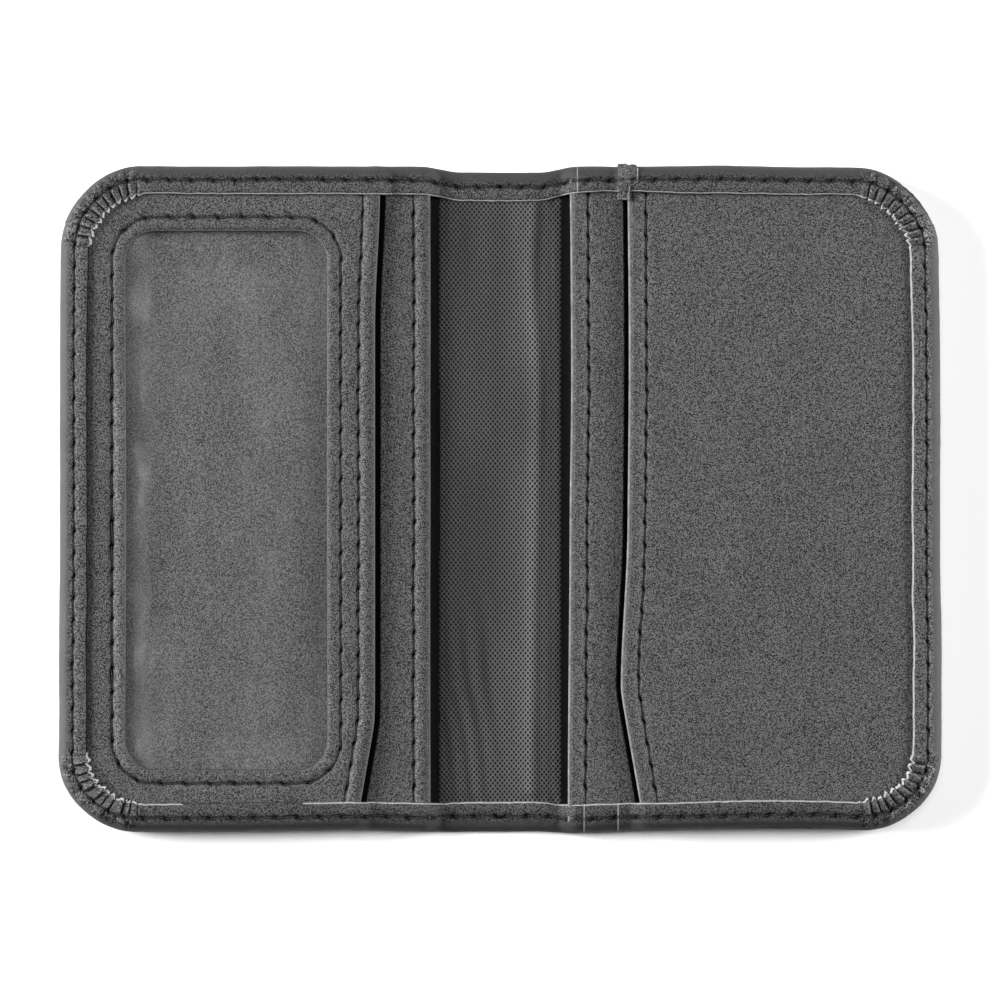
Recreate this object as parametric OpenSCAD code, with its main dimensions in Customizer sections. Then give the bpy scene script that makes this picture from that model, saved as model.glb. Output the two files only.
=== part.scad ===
// Bifold card wallet, lying open with its inside up.
// X runs across the two leaves, Y along the fold and Z up. The origin is the centre of the
// underside. Each leaf is a turned-edge leather cover, a stiffening board, a nylon lining and
// two card pockets. The fold between the leaves is a strip of cover and lining on two parallel
// hinge lines, which share the half turn of a closed wallet equally.

/* [Outline] */
// Width of the wallet lying open
open_w = 132; // [130:1:150]
// Height of the wallet, along the fold
wallet_h = 100; // [98:1:110]
// Radius of the four outer corners
corner_r = 12; // [8:1:16]
// How much the top and bottom edges draw in along the fold
fold_inset = 0.6; // [0:0.1:1]

/* [Materials] */
// Thickness of the cover leather
cover_t = 0.9; // [0.7:0.1:1.2]
// Thickness of the cover where it is skived and turned over
hem_t = 0.7; // [0.5:0.1:0.9]
// Width of the turned-over edge
hem_w = 4.3; // [3.6:0.1:4.6]
// Thickness of the pocket leather
pocket_t = 0.7; // [0.5:0.1:0.9]
// Thickness of the stiffening boards
board_t = 0.5; // [0.3:0.1:0.8]
// Thickness of the nylon linings
lining_t = 0.15; // [0.1:0.05:0.3]
// Thickness of the clear window film
film_t = 0.2; // [0.15:0.05:0.3]

/* [Pockets] */
// Clear height of each card slot, for a card 0.76 thick
slot_h = 0.85; // [0.8:0.05:1.2]
// Distance from the fold's centre line to the mouths of the back pockets
back_mouth = 10.65; // [10:0.1:13]
// The same for the front pocket of the left leaf, which has the window
left_front_mouth = 18.7; // [17:0.1:19.5]
// The same for the front pocket of the right leaf
right_front_mouth = 19.2; // [17:0.1:22]
// Height of the slanted stretch at the lower end of the left front pocket's mouth
left_slant_h = 17; // [10:0.5:25]
// The same on the right leaf
right_slant_h = 21.5; // [10:0.5:25]
// How far a mouth leans away from the fold there, for each millimetre of height
slant_slope = 0.175; // [0:0.005:0.2]

/* [Window] */
// Width of the window
window_w = 30.3; // [25:0.1:31]
// Height of the window
window_h = 80.9; // [70:0.1:81]
// Distance from the fold's centre line to the window's near edge
window_x = 25.8; // [25:0.1:26]
// Radius of the window's corners
window_r = 4.5; // [3:0.5:6]

/* [Stitching] */
// Distance from one stitch to the next
stitch_pitch = 3.35; // [3:0.05:4]
// Length of the thread that shows in each stitch
stitch_len = 2.5; // [2:0.1:2.6]
// Width of the thread
thread_w = 0.45; // [0.3:0.05:0.6]
// Height of the thread above the leather
thread_h = 0.25; // [0.15:0.05:0.3]
// Distance of the seam from the outer edge
seam_inset = 2.2; // [1.8:0.1:2.4]
// Distance of each mouth's seam from its cut edge
mouth_seam = 2.3; // [2:0.1:2.5]
// Distance of the window's seam from the window
window_seam = 1.9; // [1.5:0.1:2.2]

/* [Fold] */
// Space between the two leaves when the wallet is closed
closed_gap = 0.8; // [0.7:0.1:1.5]

/* [Hidden] */
$fn = 48;

// Clearances: between the pieces inside the turned edge, across a hinge line, and between a
// pocket's panel and its sewn border
side_gap = 0.05;
hinge_gap = 0.1;
border_gap = 0.02;
// A cut runs this far past the face it goes through
over = 1;

// Heights of the layers in a leaf, from the table up
board_top = cover_t + board_t;
floor_z = board_top + lining_t;
back_lining_z = floor_z + slot_h;
back_z = back_lining_z + lining_t;
back_top = back_z + pocket_t;
front_lining_z = back_top + slot_h;
front_z = front_lining_z + lining_t;
front_top = front_z + pocket_t;
leaf_top = front_top + hem_t;
fold_floor = cover_t + lining_t;
fold_top = fold_floor + hem_t;
back_hem_top = back_top + hem_t;

// The hinge lines run through the top of the cover, and each takes half of the half turn. What
// stands above them is bevelled, so that it meets halfway when the wallet is closed.
pivot_z = cover_t;
hinge_turn = 90;
bevel_slope = tan(hinge_turn / 2);
spine_w = 2 * (leaf_top - pivot_z) + closed_gap;
hinge_x = spine_w / 2;
fold_half_h = wallet_h / 2 - fold_inset;
stitch_clearance = (fold_top + thread_h - pivot_z) * bevel_slope;

// Insets from the outer edge: the pocket layers, and the inner side of their sewn borders
layer_inset = cover_t + side_gap;
border_inset = 3.3;
lining_inset = border_inset + side_gap;

// Stitches sunk in the outer face lie in a groove
groove_w = thread_w + 0.2;
groove_h = thread_h + 0.05;
sunk_z = groove_h - thread_h;

leather_colour = [0.16, 0.16, 0.17];
pocket_colour = [0.2, 0.2, 0.21];
nylon_colour = [0.13, 0.13, 0.14];
board_colour = [0.55, 0.53, 0.48];
thread_colour = [0.04, 0.04, 0.04];
film_colour = [0.75, 0.78, 0.8, 0.35];

// ---- Plain shapes -------------------------------------------------------------------------

// Plan of a leaf on the right of the fold, drawn in from the edge by inset, from x_in outwards
module leaf_plan(inset, x_in) {
    r = corner_r - inset;
    x_out = open_w / 2 - inset;
    y_out = wallet_h / 2 - inset;
    translate([x_in, -y_out]) square([x_out - r - x_in, 2 * y_out]);
    translate([x_out - 2 * r, r - y_out]) square([2 * r, 2 * (y_out - r)]);
    for (side = [-1, 1]) translate([x_out - r, side * (y_out - r)]) circle(r);
}

module leaf_slab(inset, x_in, z_from, z_to) {
    translate([0, 0, z_from]) linear_extrude(z_to - z_from) leaf_plan(inset, x_in);
}

// A block across the fold, centred on y = 0
module band(x_from, x_to, half_h, z_from, z_to) {
    translate([x_from, -half_h, z_from]) cube([x_to - x_from, 2 * half_h, z_to - z_from]);
}

// An outline in x and z, run along y from -half_h to half_h
module along_fold(half_h) {
    translate([0, half_h, 0]) rotate([90, 0, 0]) linear_extrude(2 * half_h) children();
}

// Mirrors the children to the left leaf, or leaves them on the right
module on_side(side) {
    mirror([side < 0 ? 1 : 0, 0, 0]) children();
}

module round_rect(w, h, r) {
    translate([-w / 2 + r, -h / 2]) square([w - 2 * r, h]);
    translate([-w / 2, -h / 2 + r]) square([w, h - 2 * r]);
    for (sx = [-1, 1], sy = [-1, 1]) translate([sx * (w / 2 - r), sy * (h / 2 - r)]) circle(r);
}

// ---- Cover --------------------------------------------------------------------------------

// Plan of the whole cover leaf, where the edge is drawn in as far as step_x
module cover_plan(inset, x_in, step_x) {
    leaf_plan(inset, max(x_in, step_x));
    half_h = fold_half_h - inset;
    if (x_in < step_x) translate([x_in, -half_h]) square([step_x - x_in + over, 2 * half_h]);
}

module cover_slab(inset, x_in, step_x, z_from, z_to) {
    translate([0, 0, z_from]) linear_extrude(z_to - z_from) cover_plan(inset, x_in, step_x);
}

// The cover of one leaf. Its turned edge climbs over the mouths of the two pockets.
module cover_leaf(front_mouth) {
    step_1 = back_mouth - hem_t - 2 * side_gap;
    step_2 = front_mouth - hem_t - 2 * side_gap;
    x_in = hinge_x + hinge_gap / 2;
    groove_out = seam_inset - groove_w / 2;
    color(leather_colour) difference() {
        union() {
            band(x_in, step_1 + over, fold_half_h, 0, fold_top);
            leaf_slab(0, step_1, 0, back_hem_top);
            leaf_slab(0, step_2, 0, leaf_top);
        }
        cover_slab(cover_t, x_in - over, step_1, cover_t, fold_floor);
        leaf_slab(cover_t, step_1 + hem_t, cover_t, back_top);
        leaf_slab(cover_t, step_2 + hem_t, cover_t, front_top);
        cover_slab(hem_w, x_in - over, step_1, cover_t, leaf_top + over);
        difference() {
            cover_slab(groove_out, x_in - over, step_1, -over, groove_h);
            cover_slab(groove_out + groove_w, x_in - 2 * over, step_1, -2 * over, leaf_top);
        }
        hinge_bevel(hinge_x, leaf_top);
    }
}

// Clears the way above a hinge line at x for the parts on its outer side
module hinge_bevel(x, z_to) {
    rise = z_to - pivot_z;
    along_fold(wallet_h) polygon([
        [x - over, pivot_z],
        [x + hinge_gap / 2, pivot_z],
        [x + hinge_gap / 2 + rise * bevel_slope, z_to],
        [x - over, z_to],
    ]);
}

// Section of the spine between two heights, bevelled above the hinge lines
module spine_section(z_from, z_to) {
    half_w = (spine_w - hinge_gap) / 2;
    bottom_half = half_w - max(z_from - pivot_z, 0) * bevel_slope;
    top_half = half_w - max(z_to - pivot_z, 0) * bevel_slope;
    polygon([[-bottom_half, z_from], [bottom_half, z_from], [top_half, z_to], [-top_half, z_to]]);
}

module spine_cover() {
    groove_y = fold_half_h - seam_inset;
    color(leather_colour) difference() {
        union() {
            along_fold(fold_half_h) spine_section(0, pivot_z);
            along_fold(fold_half_h) spine_section(pivot_z, fold_top);
        }
        band(-spine_w, spine_w, fold_half_h - cover_t, pivot_z, fold_floor);
        band(-spine_w, spine_w, fold_half_h - hem_w, pivot_z, fold_top + over);
        for (side = [-1, 1])
            translate([-spine_w, side * groove_y - groove_w / 2, -over])
                cube([2 * spine_w, groove_w, over + groove_h]);
    }
}

module spine_lining() {
    color(nylon_colour)
        along_fold(fold_half_h - cover_t - side_gap) spine_section(cover_t, fold_floor);
}

// ---- Layers of a leaf ---------------------------------------------------------------------

module board_leaf() {
    color(board_colour) leaf_slab(layer_inset, back_mouth + lining_t, cover_t, board_top);
}

// The lining climbs from the fold over the near edge of the board
module lining_leaf() {
    x_in = hinge_x + hinge_gap / 2 + lining_t * bevel_slope;
    half_h = fold_half_h - cover_t - side_gap;
    color(nylon_colour) union() {
        band(x_in, back_mouth + lining_t, half_h, cover_t, fold_floor);
        band(back_mouth, back_mouth + lining_t, half_h, cover_t, floor_z);
        leaf_slab(layer_inset, back_mouth, board_top, floor_z);
    }
}

// The sewn border of a pocket, which closes three sides of its slot. A hair's breadth keeps it
// a solid of its own, so that both it and the flat panel above keep a simple shape.
module sewn_border(mouth, z_from, z_to) {
    difference() {
        leaf_slab(layer_inset, mouth, z_from, z_to - border_gap);
        leaf_slab(border_inset, mouth - over, z_from - over, z_to + over);
    }
}

module back_pocket() {
    color(pocket_colour) {
        leaf_slab(layer_inset, back_mouth, back_z, back_top);
        sewn_border(back_mouth, floor_z, back_z);
    }
}

module back_pocket_lining() {
    color(nylon_colour) leaf_slab(lining_inset, back_mouth + side_gap, back_lining_z, back_z);
}

// What lies outside a front pocket's mouth, moved towards the pocket by shift
module mouth_cut(mouth, slant_h, shift) {
    low_y = -wallet_h / 2;
    low_x = mouth + shift + slant_slope * slant_h;
    translate([0, 0, -over]) linear_extrude(leaf_top + 2 * over) polygon([
        [0, wallet_h],
        [mouth + shift, wallet_h],
        [mouth + shift, low_y + slant_h],
        [low_x, low_y],
        [low_x, low_y - over],
        [0, low_y - over],
    ]);
}

module front_pocket(mouth, slant_h) {
    difference() {
        union() {
            leaf_slab(layer_inset, mouth, front_z, front_top);
            sewn_border(mouth, back_top, front_z);
        }
        mouth_cut(mouth, slant_h, 0);
    }
}

module right_front_pocket() {
    color(pocket_colour) front_pocket(right_front_mouth, right_slant_h);
}

module right_front_pocket_lining() {
    color(nylon_colour) difference() {
        leaf_slab(lining_inset, right_front_mouth, front_lining_z, front_z);
        mouth_cut(right_front_mouth, right_slant_h, side_gap);
    }
}

module left_front_pocket() {
    color(pocket_colour) on_side(-1) difference() {
        front_pocket(left_front_mouth, left_slant_h);
        translate([window_x + window_w / 2, 0, front_z - over])
            linear_extrude(pocket_t + 2 * over) round_rect(window_w, window_h, window_r);
    }
}

module window_film() {
    color(film_colour) on_side(-1) difference() {
        leaf_slab(lining_inset, left_front_mouth, front_z - film_t, front_z);
        mouth_cut(left_front_mouth, left_slant_h, side_gap);
    }
}

// ---- Stitching ----------------------------------------------------------------------------

// One stitch along x, lying on z = 0 and narrowing towards the holes at its ends
module stitch() {
    full_half = (stitch_len - thread_w) / 2;
    linear_extrude(thread_h) polygon([
        [-stitch_len / 2, 0],
        [-full_half, -thread_w / 2],
        [full_half, -thread_w / 2],
        [stitch_len / 2, 0],
        [full_half, thread_w / 2],
        [-full_half, thread_w / 2],
    ]);
}

// Evenly spaced stitches from one point to another, at height z
module stitch_row(from, to, z) {
    run = to - from;
    count = max(1, round(norm(run) / stitch_pitch));
    for (i = [0 : count - 1])
        translate([each (from + run * (i + 0.5) / count), z])
            rotate(atan2(run.y, run.x)) stitch();
}

// Evenly spaced stitches round an arc, at height z
module stitch_arc(centre, r, from_a, to_a, z) {
    sweep = to_a - from_a;
    count = max(1, round(r * sweep * PI / 180 / stitch_pitch));
    for (i = [0 : count - 1]) {
        a = from_a + sweep * (i + 0.5) / count;
        translate([centre.x + r * cos(a), centre.y + r * sin(a), z]) rotate(a + 90) stitch();
    }
}

// The edge seam of a leaf as seen from one side, where zones lists the stretches of the top
// and bottom edges as [from x, to x, height], and z is the height round the corners
module edge_seam(zones, z) {
    y_seam = wallet_h / 2 - seam_inset;
    r = corner_r - seam_inset;
    x_arc = open_w / 2 - corner_r;
    y_arc = wallet_h / 2 - corner_r;
    for (side = [-1, 1], zone = zones) {
        y = side * (zone[0] < back_mouth - 2 ? fold_half_h - seam_inset : y_seam);
        stitch_row([zone[0], y], [zone[1], y], zone[2]);
    }
    stitch_arc([x_arc, y_arc], r, 0, 90, z);
    stitch_arc([x_arc, -y_arc], r, -90, 0, z);
    stitch_row([x_arc + r, -y_arc], [x_arc + r, y_arc], z);
}

module edge_stitches(front_mouth) {
    step_1 = back_mouth - hem_t - 2 * side_gap;
    step_2 = front_mouth - hem_t - 2 * side_gap;
    x_arc = open_w / 2 - corner_r;
    fold_zone = [hinge_x + stitch_clearance, step_1];
    color(thread_colour) {
        edge_seam([
            [fold_zone[0], fold_zone[1], fold_top],
            [step_1, step_2, back_hem_top],
            [step_2, x_arc, leaf_top],
        ], leaf_top);
        edge_seam([
            [fold_zone[0], fold_zone[1], sunk_z],
            [step_1, x_arc, sunk_z],
        ], sunk_z);
    }
}

module spine_stitches() {
    x = hinge_x - stitch_clearance;
    y_seam = fold_half_h - seam_inset;
    color(thread_colour) for (side = [-1, 1], z = [sunk_z, fold_top])
        stitch_row([-x, side * y_seam], [x, side * y_seam], z);
}

module back_mouth_stitches() {
    x = back_mouth + mouth_seam;
    half_h = wallet_h / 2 - hem_w - side_gap;
    color(thread_colour) stitch_row([x, -half_h], [x, half_h], back_top);
}

module front_mouth_stitches(mouth, slant_h) {
    x = mouth + mouth_seam;
    half_h = wallet_h / 2 - hem_w - side_gap;
    bend_y = slant_h - wallet_h / 2;
    low_x = x + slant_slope * (half_h + bend_y);
    color(thread_colour) {
        stitch_row([x, half_h], [x, bend_y], front_top);
        stitch_row([x, bend_y], [low_x, -half_h], front_top);
    }
}

module window_stitches() {
    r = window_r + window_seam;
    x_arc = window_w / 2 - window_r;
    y_arc = window_h / 2 - window_r;
    color(thread_colour) on_side(-1) translate([window_x + window_w / 2, 0, 0]) {
        for (side = [-1, 1]) {
            stitch_row([side * (x_arc + r), -y_arc], [side * (x_arc + r), y_arc], front_top);
            stitch_row([-x_arc, side * (y_arc + r)], [x_arc, side * (y_arc + r)], front_top);
        }
        for (corner = [[1, 1, 0], [-1, 1, 90], [-1, -1, 180], [1, -1, 270]])
            stitch_arc([corner[0] * x_arc, corner[1] * y_arc], r, corner[2], corner[2] + 90,
                front_top);
    }
}

// ---- Nodes --------------------------------------------------------------------------------

on_side(-1) cover_leaf(left_front_mouth);  // left_cover
on_side(-1) board_leaf();  // left_board
on_side(-1) lining_leaf();  // left_lining
on_side(-1) back_pocket();  // left_back_pocket
on_side(-1) back_pocket_lining();  // left_back_pocket_lining
left_front_pocket();
window_film();
on_side(-1) edge_stitches(left_front_mouth);  // left_edge_stitches
on_side(-1) back_mouth_stitches();  // left_back_mouth_stitches
on_side(-1) front_mouth_stitches(left_front_mouth, left_slant_h);  // left_front_mouth_stitches
window_stitches();
spine_cover();
spine_lining();
spine_stitches();
cover_leaf(right_front_mouth);  // right_cover
board_leaf();  // right_board
lining_leaf();  // right_lining
back_pocket();  // right_back_pocket
back_pocket_lining();  // right_back_pocket_lining
right_front_pocket();
right_front_pocket_lining();
edge_stitches(right_front_mouth);  // right_edge_stitches
back_mouth_stitches();  // right_back_mouth_stitches
front_mouth_stitches(right_front_mouth, right_slant_h);  // right_front_mouth_stitches
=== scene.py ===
"""Looks of the bifold card wallet: leather, nylon, clear film and thread, built over the CAD frame.

Shapes are worked out in millimetres, on the right leaf, and mirrored for the left one. X runs away
from the fold, Y along it and Z up. A leaf's outer edge is followed by t, the distance along its
outline from the top end of the fold, and d, the distance inwards from that outline.
"""

import math

import bpy
import numpy as np
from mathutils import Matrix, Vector


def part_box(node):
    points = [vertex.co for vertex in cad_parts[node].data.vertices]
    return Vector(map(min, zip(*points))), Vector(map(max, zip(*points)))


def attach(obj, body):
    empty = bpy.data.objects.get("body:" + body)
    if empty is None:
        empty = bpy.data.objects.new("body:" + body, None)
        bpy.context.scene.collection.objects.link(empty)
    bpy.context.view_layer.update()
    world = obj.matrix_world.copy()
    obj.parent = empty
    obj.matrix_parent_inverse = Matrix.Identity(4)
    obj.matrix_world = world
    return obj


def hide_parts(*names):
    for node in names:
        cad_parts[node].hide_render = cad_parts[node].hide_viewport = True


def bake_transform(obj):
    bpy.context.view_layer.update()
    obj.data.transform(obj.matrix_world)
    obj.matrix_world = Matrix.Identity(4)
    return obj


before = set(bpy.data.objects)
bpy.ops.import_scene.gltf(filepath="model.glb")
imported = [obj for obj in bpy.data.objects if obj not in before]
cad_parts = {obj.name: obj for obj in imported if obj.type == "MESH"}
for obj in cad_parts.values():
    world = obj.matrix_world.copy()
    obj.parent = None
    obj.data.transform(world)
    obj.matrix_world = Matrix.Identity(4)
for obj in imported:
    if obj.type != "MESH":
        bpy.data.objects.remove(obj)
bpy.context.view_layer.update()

MM = 0.001
LEFT = "left"
RIGHT = "right"


def box_mm(node):
    """The lowest and highest corners of a CAD node, in millimetres."""
    low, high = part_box(node)
    return np.array(low) / MM, np.array(high) / MM


# ---- Sizes from the CAD frame ----------------------------------------------------------------

HALF_W, HALF_H, LEAF_TOP = box_mm("right_cover")[1]
FOLD_HALF_H, FOLD_TOP = box_mm("spine_cover")[1][1:]
SPINE_FLOOR = box_mm("spine_lining")[1][2]
FLOOR_TOP = box_mm("right_lining")[1][2]
PANEL_X, PANEL_Y, BACK_TOP = box_mm("right_back_pocket")[1]
FRONT_TOP = box_mm("right_front_pocket")[1][2]
FILM_HIGH = box_mm("window_film")[1][2]
BACK_MOUTH = box_mm("right_back_pocket")[0][0]
MOUTHS = {
    LEFT: -box_mm("left_front_pocket")[1][0],
    RIGHT: box_mm("right_front_pocket")[0][0],
}

# Sizes that the frame's boxes don't give
CORNER_R = 12.0
HEM_T = 0.7
PANEL_T = 0.7
COVER_T = 0.9
HEM_W = 4.2
SEAM_D = 2.2
MOUTH_SEAM = 2.3
WINDOW_SEAM = 1.9
WINDOW_R = 4.5
SLANT_H = {LEFT: 17.0, RIGHT: 21.5}
SLANT_SLOPE = 0.175
PITCH = 3.3
WINDOW_PITCH = 3.65
THREAD_R = 0.08
STITCH_LEAN = 0.20
LINING_INSET = 1.0
SHEET_T = 0.12
DIP_GAP = 0.85

STITCH_HALF_W = 0.225
SEAM_HALF_W = WINDOW_SEAM + STITCH_HALF_W
_low, _high = box_mm("window_stitches")
WINDOW_X = -(_low[0] + _high[0]) / 2
WINDOW_A = (_high[0] - _low[0]) / 2 - SEAM_HALF_W
WINDOW_B = (_high[1] - _low[1]) / 2 - SEAM_HALF_W

ARC_X = HALF_W - CORNER_R
ARC_Y = HALF_H - CORNER_R
ARC_LEN = CORNER_R * math.pi / 2
ARC_1 = ARC_X
ARC_1_END = ARC_1 + ARC_LEN
ARC_2 = ARC_1_END + 2 * ARC_Y
ARC_2_END = ARC_2 + ARC_LEN
PATH_LEN = ARC_2_END + ARC_X

# Seeds of the noise that differs between the two halves
OUTLINE_SEED = {LEFT: 11, RIGHT: 23}
PLEAT_SEED = {LEFT: 31, RIGHT: 41}
HEM_SEED = {LEFT: 61, RIGHT: 71}
BACK_SEED = {LEFT: 101, RIGHT: 102}


# ---- Small functions -------------------------------------------------------------------------

def ramp(value, start, end):
    """Rises smoothly from 0 at start to 1 at end."""
    share = np.clip((np.asarray(value, float) - start) / (end - start), 0, 1)
    return share * share * (3 - 2 * share)


def bell(value, width):
    """Falls smoothly from 1 at zero, to about a third at the given width."""
    return np.exp(-((np.asarray(value, float) / width) ** 2))


def noise(x, y, cell, seed):
    """Smooth noise from -1 to 1 that varies over the given distance, one pattern for each seed."""
    table = np.random.RandomState(seed).uniform(-1, 1, (97, 97))
    u, v = np.broadcast_arrays(np.asarray(x, float) / cell, np.asarray(y, float) / cell)
    i, j = np.floor(u).astype(int), np.floor(v).astype(int)
    fu, fv = ramp(u - i, 0, 1), ramp(v - j, 0, 1)
    low = table[i % 97, j % 97] * (1 - fu) + table[(i + 1) % 97, j % 97] * fu
    high = table[i % 97, (j + 1) % 97] * (1 - fu) + table[(i + 1) % 97, (j + 1) % 97] * fu
    return low * (1 - fv) + high * fv


def points_of(*coordinates):
    """Joins x and y, or x, y and z, into points."""
    return np.stack(np.broadcast_arrays(*coordinates), -1)


def closed(numbers, axis=0):
    """Repeats the first row or column of a ring of values at its end."""
    return np.concatenate([numbers, numbers.take([0], axis)], axis)


def seam_wander(side, t):
    """How far the edge seam strays from its line."""
    return 0.05 * noise(t, 3.5, 2.5, HEM_SEED[side])


def mouth_wander(y):
    """How far a seam beside a pocket's mouth strays from its line."""
    return 0.05 * noise(y, 2.5, 2.7, 91)


def seam_relief(across, along, pitch):
    """Depth and painted shade of a sunk seam: a groove, deeper at the needle holes. The shade darkens
    the groove and paints the holes near-black, and the puckers beside the holes get a painted
    highlight.
    """
    to_hole = np.abs((along / pitch + 0.5) % 1 - 0.5) * pitch
    across = across - STITCH_LEAN * ((along / pitch) % 1 - 0.5)
    hole = bell(across, 0.36) * bell(to_hole, 0.62)
    depth = 0.22 * bell(across, 0.17) + 0.10 * bell(across, 0.6) + 0.26 * hole
    shade = (1 - 0.28 * bell(across, 0.16)) * (1 - 0.97 * hole)
    beside = bell(np.abs(across) - 0.52, 0.2) * bell(to_hole, 0.5)
    return depth, shade * (1 + 0.4 * beside)


# ---- Meshes ----------------------------------------------------------------------------------

class Piece:
    """Collects the points and faces of one mesh, with a shade and a grain strength per point."""

    def __init__(self):
        self.points = []
        self.shades = []
        self.grains = []
        self.faces = []
        self.slots = []
        self.sharp = []
        self.count = 0

    def add_points(self, points, shade=1.0, grain=1.0):
        """Adds points of shape (..., 3) and returns their numbers in the same shape."""
        points = np.asarray(points, float)
        numbers = np.arange(self.count, self.count + points.size // 3)
        self.points.append(points.reshape(-1, 3))
        self.shades.append(np.broadcast_to(shade, points.shape[:-1]).reshape(-1))
        self.grains.append(np.broadcast_to(grain, points.shape[:-1]).reshape(-1))
        self.count += len(numbers)
        return numbers.reshape(points.shape[:-1])

    def add_face(self, corners, slot=0):
        corners = list(dict.fromkeys(corners))
        if len(corners) > 2:
            self.faces.append(corners)
            self.slots.append(slot)

    def add_quads(self, numbers, slot=0):
        """Faces between the neighbouring rows and columns of point numbers."""
        around = (numbers[:-1, :-1], numbers[1:, :-1], numbers[1:, 1:], numbers[:-1, 1:])
        quads = np.stack(around, -1).reshape(-1, 4)
        slots = np.broadcast_to(slot, around[0].shape).reshape(-1)
        for corners, quad_slot in zip(quads.tolist(), slots.tolist()):
            self.add_face(corners, quad_slot)

    def darken(self, slot, below=0.42):
        """Paints deep shade: moves the faces of slots 0 and 3 whose shade values are low to another
        material slot, which the callers fill with the near-black shadow leather.
        """
        shades = np.concatenate(self.shades)
        for k, corners in enumerate(self.faces):
            if self.slots[k] in (0, 3) and shades[corners].mean() < below:
                self.slots[k] = slot

    def close_end(self, line, other_line):
        """Flat faces between two lines of points, with hard edges along both lines."""
        self.add_quads(np.stack([line, other_line]))
        for numbers in (line, other_line):
            self.sharp.append(np.stack([numbers[:-1], numbers[1:]], -1))

    def add_sheet(self, upper, lower, end_slot=0):
        """Both faces of a sheet and three of its sides, all but the one at the first row."""
        self.add_quads(upper)
        self.add_quads(lower[::-1])
        self.add_quads(np.stack([upper[-1], lower[-1]]), end_slot)
        self.add_quads(np.stack([upper[:, 0], lower[:, 0]]), end_slot)
        self.add_quads(np.stack([lower[:, -1], upper[:, -1]]), end_slot)

    def build(self, name, materials, mirrored=False):
        points = np.concatenate(self.points) * MM
        faces = self.faces
        if mirrored:
            points[:, 0] *= -1
            faces = [corners[::-1] for corners in faces]
        mesh = bpy.data.meshes.new(name)
        mesh.from_pydata(points.tolist(), [], faces)
        mesh.polygons.foreach_set("use_smooth", [True] * len(faces))
        mesh.polygons.foreach_set("material_index", self.slots)
        for attribute_name, values in (("shade", self.shades), ("grain", self.grains)):
            attribute = mesh.attributes.new(attribute_name, "FLOAT", "POINT")
            attribute.data.foreach_set("value", np.concatenate(values).astype(np.float32))
        for material in materials:
            mesh.materials.append(material)
        if self.sharp:
            ends = np.zeros(len(mesh.edges) * 2, int)
            mesh.edges.foreach_get("vertices", ends)
            ends = np.sort(ends.reshape(-1, 2), 1)
            hard = np.sort(np.concatenate(self.sharp), 1)
            is_hard = np.isin(ends @ [self.count, 1], hard @ [self.count, 1])
            mesh.edges.foreach_set("use_edge_sharp", is_hard)
        mesh.update()
        piece = bpy.data.objects.new(name, mesh)
        bpy.context.collection.objects.link(piece)
        return piece


# ---- Materials -------------------------------------------------------------------------------

def new_material(name):
    material = bpy.data.materials.new(name)
    material.use_nodes = True
    return material, material.node_tree, material.node_tree.nodes["Principled BSDF"]


def add_node(tree, kind, **settings):
    node = tree.nodes.new(kind)
    for key, value in settings.items():
        setattr(node, key, value)
    return node


def math_node(tree, operation, first, second=None):
    node = add_node(tree, "ShaderNodeMath", operation=operation)
    for socket, value in zip(node.inputs, (first, second)):
        if isinstance(value, (int, float)):
            socket.default_value = value
        elif value is not None:
            tree.links.new(value, socket)
    return node.outputs[0]


def times(tree, first, second):
    return math_node(tree, "MULTIPLY", first, second)


def object_noise(tree, scale, detail=3.0, stretch=(1, 1, 1)):
    """Noise over the piece's own coordinates, in metres, turned so that flat faces cut it evenly."""
    place = add_node(tree, "ShaderNodeTexCoord")
    mapping = add_node(tree, "ShaderNodeMapping")
    mapping.inputs["Scale"].default_value = stretch
    mapping.inputs["Rotation"].default_value = (0.60, 0.45, 0.30)
    texture = add_node(tree, "ShaderNodeTexNoise")
    texture.inputs["Scale"].default_value = scale
    texture.inputs["Detail"].default_value = detail
    tree.links.new(place.outputs["Object"], mapping.inputs["Vector"])
    tree.links.new(mapping.outputs["Vector"], texture.inputs["Vector"])
    return texture.outputs["Fac"]


def map_range(tree, value, from_low, from_high, to_low, to_high):
    node = add_node(tree, "ShaderNodeMapRange")
    limits = (from_low, from_high, to_low, to_high)
    tree.links.new(value, node.inputs["Value"])
    for socket, limit in zip(list(node.inputs)[1:5], limits):
        socket.default_value = limit
    return node.outputs["Result"]


def named_value(tree, name):
    return add_node(tree, "ShaderNodeAttribute", attribute_name=name).outputs["Fac"]


def grey_colour(tree, value, tint=(1.0, 1.0, 1.0)):
    """A colour that is a tint times a value."""
    scale = add_node(tree, "ShaderNodeVectorMath", operation="SCALE")
    scale.inputs[0].default_value = tint
    tree.links.new(value, scale.inputs["Scale"])
    return scale.outputs["Vector"]


def set_bump(tree, shader, height, strength, distance):
    bump = add_node(tree, "ShaderNodeBump")
    bump.inputs["Distance"].default_value = distance
    tree.links.new(height, bump.inputs["Height"])
    if isinstance(strength, float):
        bump.inputs["Strength"].default_value = strength
    else:
        tree.links.new(strength, bump.inputs["Strength"])
    tree.links.new(bump.outputs["Normal"], shader.inputs["Normal"])


def set_surface(tree, shader, base, tone, rough, specular, bump):
    """Joins up a material: its colour times a tone, then roughness, specular level and bump."""
    tree.links.new(grey_colour(tree, tone, base), shader.inputs["Base Color"])
    tree.links.new(rough, shader.inputs["Roughness"])
    shader.inputs["Specular IOR Level"].default_value = specular
    set_bump(tree, shader, *bump)


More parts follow.
